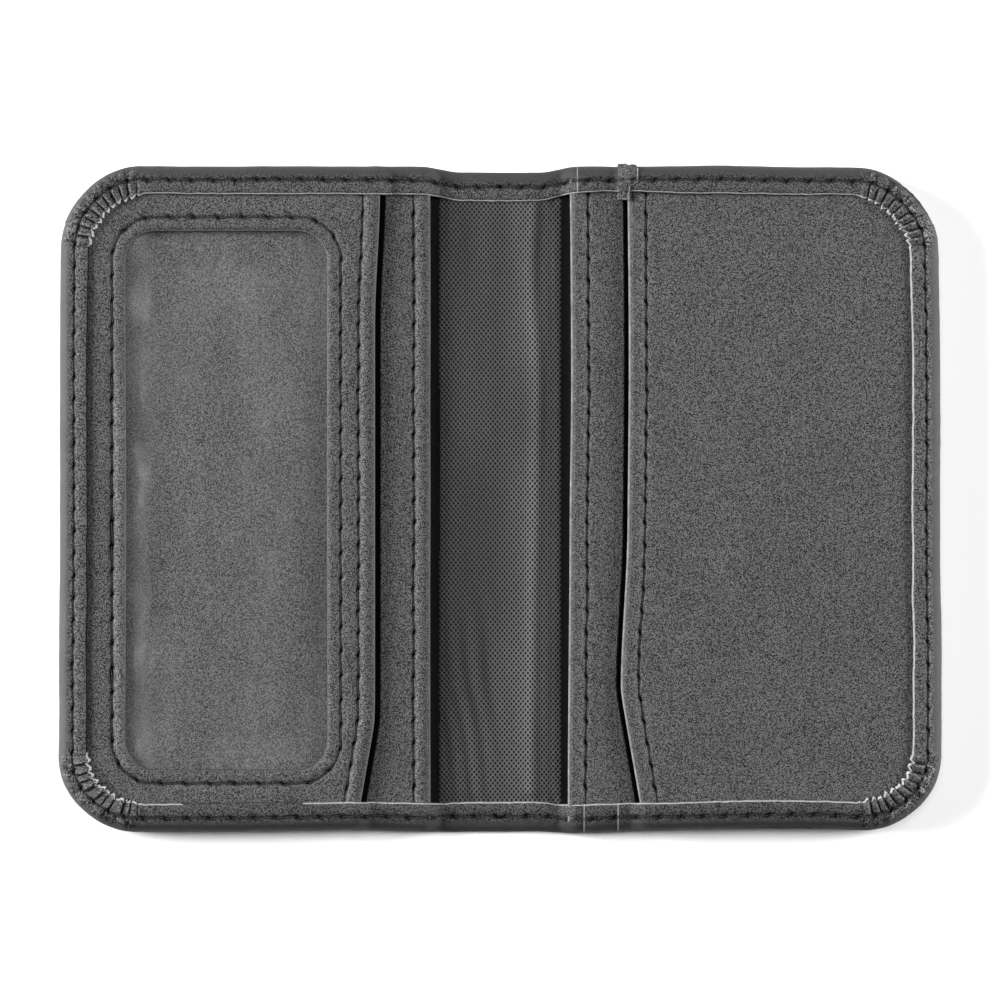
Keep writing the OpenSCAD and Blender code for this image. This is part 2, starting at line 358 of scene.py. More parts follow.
def leather(name, base, scale, rough, specular):
    """Dark coated leather with a fine crisp grain and soft mottling, darkened or lightened by each
    point's shade value, which carries painted shade and painted light.
    """
    material, tree, shader = new_material(name)
    fine = object_noise(tree, scale, 0.5)
    pores = object_noise(tree, 0.45 * scale, 1)
    height = math_node(tree, "ADD", fine, times(tree, pores, 0.3))
    grain = named_value(tree, "grain")
    mottle = map_range(tree, object_noise(tree, 120, 4), 0.3, 0.7, 0.93, 1.07)
    speckle = map_range(tree, height, 0.50, 0.80, 0.0, 2.1)
    even = math_node(tree, "SUBTRACT", 1.0, grain)
    speckle = math_node(tree, "ADD", times(tree, speckle, grain), even)
    tone = times(tree, mottle, speckle)
    tone = times(tree, tone, named_value(tree, "shade"))
    shine = map_range(tree, object_noise(tree, 400, 3), 0.3, 0.7, rough - 0.06, rough + 0.08)
    set_surface(tree, shader, base, tone, shine, specular, (height, grain, 0.00009))
    return material


def fibrous(name, base, fibres, tone, rough, bump=0.4, specular=0.5, shaded=False):
    """A matte material of fine fibres. Tone and rough map the fibres' noise onto a range."""
    material, tree, shader = new_material(name)
    noise_value = object_noise(tree, *fibres)
    colour_tone = map_range(tree, noise_value, *tone)
    if shaded:
        colour_tone = times(tree, colour_tone, named_value(tree, "shade"))
    roughness = map_range(tree, noise_value, *rough)
    set_surface(tree, shader, base, colour_tone, roughness, specular, (noise_value, bump, 0.0001))
    return material


def raw_edge(name, grey):
    """The pale woven backing that shows where coated leather is cut."""
    tone = (0.25, 0.75, 0.6, 1.2)
    return fibrous(name, (grey,) * 3, (1500, 4), tone, (0.2, 0.8, 0.7, 0.95), 0.5, shaded=True)


def nylon():
    """Black lining cloth: a light diamond net with small dark holes."""
    material, tree, shader = new_material("nylon_weave")
    place = add_node(tree, "ShaderNodeTexCoord").outputs["Object"]
    axes = add_node(tree, "ShaderNodeSeparateXYZ")
    tree.links.new(place, axes.inputs["Vector"])
    across = times(tree, axes.outputs["X"], math.pi / 0.00070)
    upward = times(tree, axes.outputs["Y"], math.pi / 0.00085)
    first = math_node(tree, "SINE", math_node(tree, "ADD", across, upward))
    second = math_node(tree, "SINE", math_node(tree, "SUBTRACT", across, upward))
    holes = math_node(tree, "ABSOLUTE", times(tree, first, second))
    fibres = object_noise(tree, 3000, 2)
    tone = map_range(tree, holes, 0.15, 0.80, 1.9, 0.0)
    tone = times(tree, tone, map_range(tree, fibres, 0.3, 0.7, 0.85, 1.15))
    tone = times(tree, tone, named_value(tree, "shade"))
    rough = map_range(tree, holes, 0.0, 1.0, 0.45, 0.65)
    bump = (math_node(tree, "SUBTRACT", 1.0, holes), 0.7, 0.00008)
    set_surface(tree, shader, (0.043, 0.043, 0.044), tone, rough, 0.15, bump)
    return material


def thread_material():
    """Black polyester thread with a tight twist."""
    material, tree, shader = new_material("black_thread")
    place = add_node(tree, "ShaderNodeTexCoord").outputs["Object"]
    twist = add_node(tree, "ShaderNodeTexWave", bands_direction="DIAGONAL")
    twist.inputs["Scale"].default_value = 900
    twist.inputs["Distortion"].default_value = 1.0
    tree.links.new(place, twist.inputs["Vector"])
    tone = map_range(tree, twist.outputs["Fac"], 0.0, 1.0, 0.6, 1.4)
    fuzz = map_range(tree, object_noise(tree, 2500, 2), 0.3, 0.7, 0.7, 0.85)
    bump = (twist.outputs["Fac"], 0.6, 0.00005)
    set_surface(tree, shader, (0.026, 0.026, 0.027), tone, fuzz, 0.15, bump)
    return material


def clear_film():
    """Clear plastic with a milky haze, faint scuffs and a shallow ripple."""
    material, tree, shader = new_material("clear_film")
    streaks = object_noise(tree, 60, 5, (2.5, 0.6, 1))
    scuffs = object_noise(tree, 320, 4, (1.5, 0.5, 1))
    haze = map_range(tree, streaks, 0.35, 0.75, 0.010, 0.030)
    haze = math_node(tree, "ADD", haze, map_range(tree, scuffs, 0.55, 0.8, 0.0, 0.02))
    haze = times(tree, haze, named_value(tree, "shade"))
    tree.links.new(haze, shader.inputs["Alpha"])
    shader.inputs["Base Color"].default_value = (0.55, 0.56, 0.57, 1)
    shader.inputs["Metallic"].default_value = 0.4
    tree.links.new(map_range(tree, scuffs, 0.3, 0.7, 0.16, 0.34), shader.inputs["Roughness"])
    shader.inputs["Specular IOR Level"].default_value = 1.0
    set_bump(tree, shader, streaks, 0.35, 0.0004)
    return material


COVER_LEATHER = leather("cover_leather", (0.046, 0.046, 0.047), 5200, 0.58, 0.24)
EDGE_LEATHER = leather("edge_leather", (0.052, 0.052, 0.053), 5200, 0.60, 0.10)
POCKET_LEATHER = leather("pocket_leather", (0.049, 0.049, 0.050), 5600, 0.56, 0.26)
# Near-black matte leather that paints the deep shade in the slots, seams and needle holes
PAINTED_SHADOW_LEATHER = fibrous(
    "slot_shadow_leather", (0.005, 0.005, 0.005), (1800, 3),
    tone=(0.3, 0.7, 0.6, 1.4), rough=(0.3, 0.7, 0.85, 1.0), specular=0.08,
)
HEM_RAW = raw_edge("hem_raw_edge", 0.32)
MOUTH_RAW = raw_edge("mouth_raw_edge", 0.095)
NYLON = nylon()
THREAD = thread_material()
FILM = clear_film()
BOARD = fibrous(
    "stiffener_card", (0.30, 0.28, 0.25), (900, 5),
    tone=(0.3, 0.7, 0.85, 1.1), rough=(0.3, 0.7, 0.8, 0.95),
)


# ---- The turned edge of the cover ------------------------------------------------------------

def outline(t):
    """Centres and outward directions of the outline: a point d inwards is (R - d) from a centre."""
    t = np.asarray(t, float)
    angle = np.select(
        [t < ARC_1, t < ARC_1_END, t < ARC_2, t < ARC_2_END],
        [math.pi / 2, math.pi / 2 - (t - ARC_1) / CORNER_R, 0 * t, -(t - ARC_2) / CORNER_R],
        -math.pi / 2,
    )
    centre_x = np.minimum(np.minimum(t, PATH_LEN - t), ARC_X)
    centre_y = np.clip(ARC_Y - (t - ARC_1_END), -ARC_Y, ARC_Y)
    return centre_x, centre_y, np.cos(angle), np.sin(angle)


def from_fold(t):
    """How far the outline is from the fold, and how much it faces the top (1) or the bottom (-1)."""
    centre_x, _, out_x, up = outline(t)
    return centre_x + CORNER_R * out_x, up


# Where the turned edge overlaps itself: at the top (1) or the bottom (-1), and the distance from
# the fold's centre line
LAP_W = 0.10
# Where the coating is rolled over the cut edge, along the bottom of the left half
ROLLED_AT = 38.2
ROLLED_W = 18.0
# The loose flap at the top of the right half
FLAP_X = 19.05
FLAP_W = 2.8
LAPS = {LEFT: (), RIGHT: ((1, 11.6), (-1, 12.6), (-1, 17.7))}


def lap_drop(side, t):
    """How far the turned edge lies lower on the near side of each lap."""
    x, up = from_fold(t)
    drop = np.zeros_like(x)
    for end, lap in LAPS[side]:
        near = ramp(x, lap - 3.5, lap - 0.3) * (1 - ramp(x, lap - LAP_W, lap + LAP_W))
        drop += 0.36 * near * (up * end > 0.5)
    return drop


def near_lap(side, t, reach):
    """Which points of the outline are at a lap's cut end."""
    x, up = from_fold(t)
    near = np.zeros(x.shape, bool)
    for end, lap in LAPS[side]:
        near |= (np.abs(x - lap) < reach) & (up * end > 0.5)
    return near


def hem_top(side, t):
    """Height of the turned edge, which climbs over the mouths of the two pockets."""
    x, up = from_fold(t)
    mouth = front_mouth(side, np.sign(up) * (HALF_H - 3))
    rise_1 = BACK_TOP + HEM_T - FOLD_TOP
    rise_2 = LEAF_TOP - BACK_TOP - HEM_T
    height = FOLD_TOP + rise_1 * ramp(x, BACK_MOUTH - 1.9, BACK_MOUTH + 1.0)
    height = height + rise_2 * ramp(x, mouth - 2.3, mouth + 0.4)
    wave = 0.10 * noise(x, up, 2.1, 5) * ramp(x, 0.5, 3) * (1 - ramp(x, 8, 11))
    return height + wave - lap_drop(side, t)


def edge_shift(side, t):
    """How far the outline draws in: at the fold, and a little everywhere."""
    _, centre_y, out_x, up = outline(t)
    x = from_fold(t)[0]
    seed = OUTLINE_SEED[side]
    shift = (HALF_H - FOLD_HALF_H + 0.15 * (up > 0)) * (1 - ramp(x, 5.5, 12.0))
    shift = shift - 0.13 * (up > 0.3) * ramp(x, 6, 12)
    near_top_corner = t - (ARC_1 + ARC_1_END) / 2
    off_fold = ramp(x, 5.5, 12.0)
    if side == LEFT:
        shift = shift + 0.3 * bell(near_top_corner, 6)
        lower = (0.30 + 0.25 * bell(x - 22, 10)) * off_fold - 0.32 * (1 - off_fold)
    else:
        shift = shift + 0.75 * bell(near_top_corner, 7) + 0.22 * (up > 0.3) * ramp(x, 30, 50)
        lower = (0.35 + 0.45 * bell(x - 42, 16)) * ramp(x, 8, 22) - 0.32 * (1 - off_fold)
    shift = shift + lower * ramp(-up, 0.3, 0.9)
    shift = shift + 0.09 * noise(t, 0.5, 11, seed) * ramp(x, 0, 5)
    shift = shift + 0.03 * noise(t, 0.5, 1.7, seed + 1) * ramp(x, 0, 5)
    return shift + 0.0045 * centre_y * np.abs(out_x)


def pleat(side, t):
    """Place within a knife pleat round a corner, its height and size, and how far pleats fade in."""
    middle_1 = (ARC_1 + ARC_1_END) / 2
    middle_2 = (ARC_2 + ARC_2_END) / 2
    seed = PLEAT_SEED[side]
    first = t < (middle_1 + middle_2) / 2
    away = np.where(first, t - middle_1, t - middle_2)
    inner = np.clip(away, -ARC_LEN / 2, ARC_LEN / 2) * (CORNER_R - HEM_W) / CORNER_R
    along = inner + (away - np.clip(away, -ARC_LEN / 2, ARC_LEN / 2))
    fade = 1 - ramp(np.abs(along), 4.9, 7.2)
    place = along / 1.22 + 0.22 * noise(along, np.where(first, 3.5, 9.5), 1.9, seed)
    if side == LEFT:
        place = -place
    share = place - np.floor(place)
    fall = 1 - 0.7 * np.clip((share - 0.24) / 0.76, 0, 1) ** 1.2
    rise = ramp(share, 0.0, 0.24) * fall * (1 - ramp(share, 0.93, 1.0))
    size = 0.8 + 0.35 * noise(np.floor(place), np.where(first, 1.5, 7.5), 1.0, seed + 2)
    return share, rise, size, fade


def hem_edge(side, t):
    """Distance inwards of the cut inner edge of the turned leather."""
    _, rise, size, fade = pleat(side, t)
    x, up = from_fold(t)
    wander = 0.10 * noise(t, 2.5, 7, 51) + 0.05 * noise(t, 4.5, 1.1, 52)
    ruffle = fade * (0.2 + 0.7 * (rise - 0.45) * size + 0.2 * noise(t, 6.5, 0.6, 53))
    near_fold = 0.3 * (1 - ramp(x, 8, 12)) * noise(x, 8.5, 3.0, 54)
    if side == RIGHT:
        ruffle = ruffle - 0.5 * bell(x - 19, 6) * (up > 0.5) - 0.15 * bell(x - 12, 5) * (up > 0.5)
    return HEM_W - 0.05 + wander + ruffle + near_fold * ramp(x, 0, 2)


def hem_surface(side, t, d):
    """Height, shade and grain of the turned leather's upper face."""
    top = hem_top(side, t)
    share_of_pleat, rise, size, fade = pleat(side, t)
    seed = HEM_SEED[side]
    across = np.minimum(1.45, 0.55 * top)
    down = np.minimum(2.4, 0.5 * top)
    share = 1 - np.clip(d, 0, across) / across
    z = top - down * (1 - np.sqrt(1 - share ** 2))
    z = z + 0.08 * np.sin(math.pi * np.clip((d - 0.4) / 1.8, 0, 1))
    z = z + 0.10 * np.sin(math.pi * np.clip((d - SEAM_D) / 2.1, 0, 1))
    depth, shade = seam_relief(d - SEAM_D - seam_wander(side, t), t, PITCH)
    z = z - depth
    # Knife pleats between the seam and the cut edge, with painted shade in their creases and painted
    # highlights on their ridges
    inside = ramp(d, SEAM_D - 0.05, SEAM_D + 0.55)
    z = z + fade * inside * (0.66 * rise * size - 0.32)
    crease = fade * inside * bell(np.minimum(share_of_pleat, 1 - share_of_pleat), 0.10)
    ridge = fade * inside * bell(share_of_pleat - 0.26, 0.10)
    shade = shade * (1 - 0.97 * crease) * (1 + 1.3 * ridge)
    # Crinkles where the leather is drawn round, strongest at the corners. Their shade is painted:
    # lighter where they rise, with thin painted highlight lines and thin painted shade lines
    band = ramp(d, 0.25, 0.8) * (1 - ramp(d, 2.0, 2.3))
    crinkle = noise(t, d * 0.5, 0.75, seed + 1) + 0.6 * noise(t, d, 0.4, seed + 2)
    z = z + crinkle * band * (0.015 + 0.13 * fade)
    light_line = bell(noise(t, d * 0.3, 0.8, seed + 5), 0.13)
    dark_line = bell(noise(t + 0.2 * d, d * 0.3, 0.7, seed + 6), 0.16)
    shade = shade * (1 + band * fade * (0.3 * crinkle + 1.1 * light_line - 0.6 * dark_line))
    pucker = noise(t, d * 0.35, 0.8, seed + 3) * ramp(d, SEAM_D, 3.0)
    z = z + pucker * 0.03 * (1 - fade)
    near_fold = (1 - ramp(from_fold(t)[0], 9, 13)) * ramp(d, 0.6, 1.4)
    z = z + 0.07 * near_fold * noise(t, d * 0.8, 1.0, seed + 4)
    grain = 0.12 + 0.88 * ramp(d, 1.0 - 0.8 * fade, 2.0 - 0.8 * fade)
    return z, shade, grain


UPPER_D = (4.25, 4.12, 3.95, 3.75, 3.5, 3.25, 3.0, 2.8, 2.62, 2.5, 2.4, 2.31, 2.24, 2.16, 2.09,
           2.0, 1.9, 1.75, 1.55, 1.35, 1.15, 0.95, 0.75, 0.57, 0.4, 0.27, 0.16, 0.08, 0.02)
LOWER_D = (0.02, 0.08, 0.2, 0.38, 0.6, 0.9, 1.3, 1.65, 1.9, 2.03, 2.12, 2.2, 2.28, 2.37, 2.5,
           2.75, 3.2, 4.0, 6.0, 9.0, CORNER_R)


def edge_painted_light(t, d):
    """Painted light and shade on the rolled edge: paler along the long outer side, darker along the
    top and darkest at the bottom.
    """
    _, _, out_x, up = outline(t)
    tone = 0.36 * out_x ** 2 - 0.24 * np.maximum(up, 0) ** 2 - 0.5 * np.maximum(-up, 0) ** 2
    return 1 + tone * (1 - 0.6 * ramp(d, SEAM_D - 0.2, SEAM_D + 0.2))


def edge_samples(side):
    """Distances along the outline, close together at the corners and at the laps."""
    stops = (0, ARC_1, ARC_1_END, ARC_2, ARC_2_END, PATH_LEN)
    counts = (165, 140, 230, 140, 165)
    rows = [
        np.linspace(first, last, count, endpoint=False)
        for first, last, count in zip(stops, stops[1:], counts)
    ]
    rows.append([PATH_LEN])
    for end, lap in LAPS[side]:
        near = lap + LAP_W * np.array([-1, -0.33, 0.33, 1])
        rows.append(near if end > 0 else PATH_LEN - near)
    return np.unique(np.concatenate(rows))


def underside(side, t, d):
    """Height and shade of the outer face near the edge, never below the table."""
    top = hem_top(side, t)
    down = np.minimum(1.5, 0.42 * top)
    share = 1 - np.clip(d, 0, 0.9) / 0.9
    depth, shade = seam_relief(d - SEAM_D, t, PITCH)
    z = down * (1 - np.sqrt(1 - share ** 2)) + depth
    return z, shade


def place_on_edge(side, t, d):
    """Plan position of a point d inwards, with the outline's shift fading out inwards."""
    centre_x, centre_y, out_x, out_y = outline(t)
    moved = d + edge_shift(side, t) * (1 - ramp(d, 4.5, CORNER_R))
    reach = CORNER_R - moved
    return centre_x + reach * out_x, centre_y + reach * out_y


def cover_half(side):
    """One half of the cover, from its cut inner edge round the rolled edge to the outer face."""
    piece = Piece()
    t = edge_samples(side)
    top = hem_top(side, t)
    edge = hem_edge(side, t)
    inner_top = top - HEM_T
    inner_low = COVER_T - 0.05 + 0 * t
    columns, shades, grains = [], [], []

    def add_column(d, z, shade=1.0, grain=1.0):
        columns.append(points_of(*place_on_edge(side, t, d), z))
        shades.append(shade + 0 * t)
        grains.append(grain + 0 * t)

    # The face towards the leaf's layers
    for d in (CORNER_R, 8.0, 4.5, 1.7):
        add_column(d + 0 * t, inner_low)
    for d, share in ((0.95, 0.2), (0.8, 0.5), (0.95, 0.85), (1.8, 1.0), (3.2, 1.0)):
        add_column(d + 0 * t, inner_low + share * (inner_top - inner_low))
    # The cut edge, then the turned leather's upper face out to the rolled edge
    first_z = hem_surface(side, t, edge)[0]
    fade = pleat(side, t)[3]
    straight = (t > ARC_1_END + 0.2) & (t < ARC_2 - 0.2)
    raw_w = 0.24 + 0.12 * fade - 0.14 * straight * (side == LEFT)
    # The cut face is darker towards its foot, a painted shade, and paler round the corners
    add_column(edge + 0.05, first_z - 0.66, 0.5)
    raw_from = len(columns)
    add_column(edge + raw_w, first_z - 0.58, 0.8 + 0.3 * fade)
    add_column(edge + 0.4 * raw_w, first_z - 0.10, 1 + 0.3 * fade)
    raw_to = len(columns)
    lap_tone = np.where(near_lap(side, t, LAP_W + 0.02), 0.5, 1)
    for d in UPPER_D:
        scaled = np.where(d > 3.0, 3.0 + (d - 3.0) * (edge - 3.0) / (UPPER_D[0] - 3.0), d)
        z, shade, grain = hem_surface(side, t, scaled)
        lip = 0.10 * bell(scaled - edge, 0.12)
        # The rolled edge's painted light and shade is multiplied in here
        add_column(scaled, z - lip, shade * edge_painted_light(t, d) * lap_tone, grain)
    # The wall, then the outer face
    high = columns[-1][:, 2]
    low, _ = underside(side, t, 0.02)
    for share in (0.2, 0.4, 0.6, 0.8):
        bulge = 0.07 * math.sin(math.pi * share)
        # The wall carries the rolled edge's painted light and shade, fading towards the table
        painted_wall_light = 1 + (edge_painted_light(t, 0.0) - 1) * (1 - share)
        add_column(-bulge + 0 * t, high + share * (low - high), painted_wall_light, 0.35)
    for d in LOWER_D:
        z, shade = underside(side, t, d)
        add_column(d + 0 * t, z, shade)

    grid = np.stack(columns, 1)
    grid[:, -1, 2] = 0
    numbers = piece.add_points(grid, np.stack(shades, 1), np.stack(grains, 1))
    first_arc = (t >= ARC_1 - 1e-9) & (t <= ARC_1_END + 1e-9)
    second_arc = (t >= ARC_2 - 1e-9) & (t <= ARC_2_END + 1e-9)
    for end in (0, -1):
        for arc in (first_arc, second_arc):
            numbers[arc, end] = numbers[np.argmax(arc), end]
    slots = np.zeros((len(t) - 1, grid.shape[1] - 1), int)
    outside = raw_to + UPPER_D.index(2.16)
    slots[:, outside:-(len(LOWER_D) - LOWER_D.index(2.2))] = 3
    slots[:, raw_from - 1:raw_to] = 1
    if side == LEFT:
        # The cut face along the left half's straight outer side takes the near-black shadow leather:
        # painted shade, as it faces away from the brighter lamp
        slots[straight[1:], raw_from - 1:raw_to] = 2
        rolled = np.abs(PATH_LEN - ROLLED_AT - t[1:]) < ROLLED_W / 2
        slots[rolled, raw_from - 1:raw_to] = 0
    # The cut face of each lap shows right across the turned leather
    slots[near_lap(side, (t[1:] + t[:-1]) / 2, LAP_W), raw_to:raw_to + len(UPPER_D)] = 1
    piece.add_quads(numbers, slots)

    outer = fill_middle(piece, t, numbers[:, -1], 0.0, True)
    inner = fill_middle(piece, t, numbers[:, 0], inner_low[0], False)
    # The flat end on the fold's centre line, where the other half begins
    half = grid.shape[1] // 2
    for row, flip in ((numbers[0], 1), (numbers[-1], -1)):
        ends = np.stack([row[:half + 1], row[::-1][:half + 1]])
        piece.close_end(*ends[::flip])
    piece.close_end(outer, inner)
    # Faces in deep painted shade, at the needle holes and in the pleats' creases, take the near-black
    # shadow leather
    piece.darken(2, 0.3)
    name = f"cover_{side}"
    materials = [COVER_LEATHER, HEM_RAW, PAINTED_SHADOW_LEATHER, EDGE_LEATHER]
    return piece.build(name, materials, side == LEFT)


def fill_middle(piece, t, ring, z, faces_down):
    """The flat middle of a cover face, joined to the ring of points round it."""
    top = np.flatnonzero(t <= ARC_1 + 1e-9)
    right = np.flatnonzero((t >= ARC_1_END - 1e-9) & (t <= ARC_2 + 1e-9))
    bottom = np.flatnonzero(t >= ARC_2_END - 1e-9)[::-1]
    near = [i for i in range(0, len(top), 2) if t[top[i]] < 12.5]
    far = list(range(near[-1] + 4, len(top) - 2, 4))
    across = near + far + [len(top) - 1]
    down = list(range(0, len(right) - 2, 4)) + [len(right) - 1]
    columns = t[top[across]]
    rows = ARC_Y - (t[right[down]] - ARC_1_END)
    x, y = np.meshgrid(columns, rows, indexing="ij")
    inner = piece.add_points(points_of(x[:-1, 1:-1], y[:-1, 1:-1], z))
    numbers = np.zeros(x.shape, int)
    numbers[:-1, 1:-1] = inner
    numbers[:, 0] = ring[top[across]]
    numbers[:, -1] = ring[bottom[across]]
    numbers[-1, :] = ring[right[down]]
    for i in range(len(across) - 1):
        for j in range(len(down) - 1):
            corners = [numbers[i, j]]
            if j == 0:
                corners += [ring[top[k]] for k in range(across[i] + 1, across[i + 1])]
            corners.append(numbers[i + 1, j])
            if i == len(across) - 2:
                corners += [ring[right[k]] for k in range(down[j] + 1, down[j + 1])]
            corners.append(numbers[i + 1, j + 1])
            if j == len(down) - 2:
                corners += [ring[bottom[k]] for k in range(across[i + 1] - 1, across[i], -1)]
            corners.append(numbers[i, j + 1])
            corners = [int(c) for c in corners]
            piece.add_face(corners if faces_down else corners[::-1])
    return numbers[0]


# ---- Pocket panels ---------------------------------------------------------------------------

def slant(side, y):
    """How far a front pocket's mouth leans away from the fold at its lower end."""
    below = -(HALF_H - SLANT_H[side]) - y
    return SLANT_SLOPE * 0.5 * (below + np.sqrt(below ** 2 + 1.2 ** 2))


def front_mouth(side, y):
    if side == LEFT:
        return MOUTHS[side] + 0.2 - 0.75 * ramp(y, 26, 47) + slant(side, y)
    bow = 0.32 * bell(y - 22, 26) - 0.95 * ramp(-y, 4, 30)
    return MOUTHS[side] + 0.1 + bow + slant(side, y)


def back_mouth(side, y):
    bow = 0.0 if side == LEFT else 0.36 * bell(y - 22, 26) - 0.12 * ramp(-y, 10, 40)
    return BACK_MOUTH + bow + 0.04 * noise(y, 1.5, 14, 81)


def inset_at(x, y):
    """Distance inwards from the leaf's outline."""
    over_x = x - ARC_X
    over_y = np.abs(y) - ARC_Y
    past_both = np.hypot(np.maximum(over_x, 0), np.maximum(over_y, 0))
    beyond = np.where(over_y < 0, np.maximum(over_x, 0), past_both)
    return CORNER_R - np.where(over_x < 0, over_y, beyond)


def rounded_half_height(x, corner):
    """Half the height, at x, of a sheet whose outer corners have the given radius."""
    return ARC_Y + np.sqrt(np.maximum(corner ** 2 - np.maximum(x - ARC_X, 0) ** 2, 0))


def mouth_strip(from_mouth, y):
    """Relief and shade beside a pocket's mouth: a rounded lip, a padded strip and a sunk seam. The
    strip gets a painted highlight beside the seam and painted shade towards the mouth.
    """
    lip = 0.16 * bell(from_mouth, 0.22)
    pad = 0.20 * np.sin(math.pi * np.clip((from_mouth - 0.1) / (MOUTH_SEAM - 0.1), 0, 1))
    depth, shade = seam_relief(from_mouth - MOUTH_SEAM - mouth_wander(y), y, PITCH)
    # Painted highlight beside the seam and painted shade towards the mouth
    painted_crown_light = 1 + 0.25 * bell(from_mouth - MOUTH_SEAM + 0.6, 0.45) - 0.28 * bell(from_mouth - 0.45, 0.35)
    return pad - lip - depth, shade * painted_crown_light


def under_mouth(x, start, deep):
    """Where a layer drops into the dark below the next pocket's mouth, and the painted shade that
    darkens it there.
    """
    dip = ramp(x, start - 0.18, start + 0.14) * (1 - ramp(x, start + 2.5, start + 5))
    return deep * dip, 1 - 0.96 * dip


def tucked(x, y):
    """How far a panel is pressed down under the turned edge."""
    return 0.22 * (1 - ramp(inset_at(x, y), 3.7, 4.9))


MOUTH_D = (0.0, 0.06, 0.14, 0.24, 0.4, 0.6, 0.9, 1.2, 1.5, 1.75, 1.95, 2.08, 2.17, 2.24, 2.3,
           2.36, 2.43, 2.52, 2.65, 2.85, 3.1, 3.5)
DIP_D = (-0.3, -0.18, -0.1, -0.02, 0.06, 0.14, 0.25, 0.45, 0.9, 1.5)


def panel(name, side, mouth_of, surface, dip_line=None):
    """A plain pocket panel from its mouth to the edge of the leaf, as a closed sheet."""
    piece = Piece()
    y_rows = np.linspace(-PANEL_Y, PANEL_Y, 316)
    far = np.linspace(0, 1, 40)[1:]
    mouth = mouth_of(side, y_rows)
    x_near = mouth[None, :] + np.array(MOUTH_D)[:, None]
    if dip_line is not None:
        line = dip_line(side, y_rows)
        between = x_near[-1] + np.linspace(0, 1, 7)[1:, None] * (line - 0.45 - x_near[-1])
        x_near = np.concatenate([x_near, between, line + np.array(DIP_D)[:, None]])
    x_far = x_near[-1][None, :] + far[:, None] * (PANEL_X - 0.02 - x_near[-1])[None, :]
    x = np.concatenate([x_near, x_far])
    round_y = rounded_half_height(x, CORNER_R - (HALF_W - PANEL_X))
    y = y_rows[None, :] * np.minimum(round_y / PANEL_Y, 1.0)
    z, shade = surface(x, y, x - mouth[None, :])
    z = z - tucked(x, y)
    upper = piece.add_points(points_of(x, y, z), shade)
    piece.add_quads(upper)
    picks = [0, 4, 12, 21] + list(range(25, len(x), 6)) + [len(x) - 1]
    low = points_of(x[picks], y[picks], z[picks] - PANEL_T + 0.1)
    raw_w = 0.20 if side == LEFT else 0.32
    low[0, :, 0] -= raw_w + 0.02
    # The lower face has a painted shade of 0.4, which also darkens the foot of the cut mouth edge
    lower = piece.add_points(low, 0.4)
    piece.add_quads(lower[::-1])
    # The cut mouth edge's tone wanders along it. On the right leaf, whose mouths face the brighter
    # lamp, it is painted 2.7 times lighter: painted light
    fray = 0.8 + 0.3 * noise(y[0], 0.5, 1.1, 92)
    middle_points = points_of(x[0] - raw_w, y[0], z[0] - 0.16)
    middle = piece.add_points(middle_points, fray if side == LEFT else 2.7 * fray)
    piece.add_quads(np.stack([lower[0], middle, upper[0]]), 1)
    piece.add_quads(np.stack([upper[-1], lower[-1]]))
    for column, step in ((0, 1), (-1, -1)):
        for k in range(len(picks) - 1):
            corners = [int(n) for n in upper[picks[k]:picks[k + 1] + 1, column]]
            corners += [int(lower[k + 1, column]), int(lower[k, column])]
            piece.add_face(corners[::-1] if step > 0 else corners)
    # Faces in deep painted shade, below the next pocket's mouth and at the needle holes, take the
    # near-black shadow leather
    piece.darken(2)
    return piece.build(name, [POCKET_LEATHER, MOUTH_RAW, PAINTED_SHADOW_LEATHER], side == LEFT)


def dip_start(side, y):
    """Where the back pocket drops into the dark below the front pocket's mouth."""
    return front_mouth(side, y) - DIP_GAP


def back_surface(side):
    def surface(x, y, from_mouth):
        relief, shade = mouth_strip(from_mouth, y)
        dip, dark = under_mouth(x, dip_start(side, y), 0.6)
        soft = 0.05 * noise(x, y, 9, BACK_SEED[side])
        return BACK_TOP + relief + soft - dip, shade * dark
    return surface


def right_front_surface(x, y, from_mouth):
    relief, shade = mouth_strip(from_mouth, y)
    soft = 0.10 * noise(x, y, 16, 103) + 0.03 * noise(x, y, 6, 104)
    return FRONT_TOP + relief + soft, shade


# ---- The window pocket -----------------------------------------------------------------------

def window_distance(x, y):
    """Distance outwards from the window's edge."""
    over_x = np.abs(x - WINDOW_X) - (WINDOW_A - WINDOW_R)
    over_y = np.abs(y) - (WINDOW_B - WINDOW_R)
    outside = np.hypot(np.maximum(over_x, 0), np.maximum(over_y, 0))
    return outside + np.minimum(np.maximum(over_x, over_y), 0) - WINDOW_R


def window_ring(counts, grow):
    """A closed ring of points at a distance outwards from the window's edge."""
    a, b, r = WINDOW_A - WINDOW_R, WINDOW_B - WINDOW_R, WINDOW_R + grow
    long_side = np.linspace(-1, 1, counts[0], endpoint=False)
    short_side = np.linspace(-1, 1, counts[1], endpoint=False)
    turn = np.linspace(0, math.pi / 2, counts[2], endpoint=False)
    half = np.concatenate([
        points_of(a + r, b * long_side),
        points_of(a + r * np.cos(turn), b + r * np.sin(turn)),
        points_of(-a * short_side, b + r),
        points_of(-a - r * np.sin(turn), b + r * np.cos(turn)),
    ])
    return np.concatenate([half, -half]) + np.array([WINDOW_X, 0])


